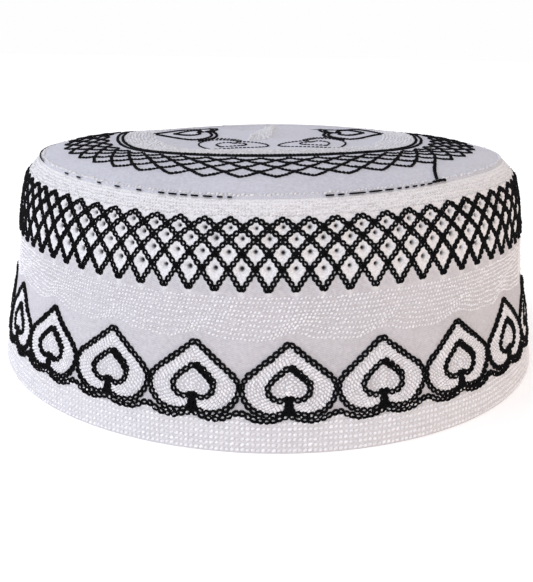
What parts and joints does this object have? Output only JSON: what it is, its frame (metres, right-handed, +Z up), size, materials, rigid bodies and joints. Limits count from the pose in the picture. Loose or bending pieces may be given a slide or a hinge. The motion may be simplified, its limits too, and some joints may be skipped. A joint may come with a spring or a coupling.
{
  "type": "prayer cap",
  "caption": "Round, low embroidered prayer cap: a softly domed quilted crown sewn into a stiff, tapered side wall, with a black lattice and a border of hearts.",
  "frame": {"origin": "centre of the hem's underside, in the plane that the cap rests on", "axes": "+Z up through the crown, -Y towards the front of the cap, +X to the viewer's right"},
  "size_m": [0.1844, 0.1844, 0.0707],
  "materials": {
    "white_cloth": "white cotton, quilted and eyeleted",
    "white_thread": "white chain stitch",
    "black_thread": "black chain stitch"
  },
  "bodies": {
    "root": {"side_wall": "white_cloth", "crown": "white_cloth"}
  },
  "joints": []
}
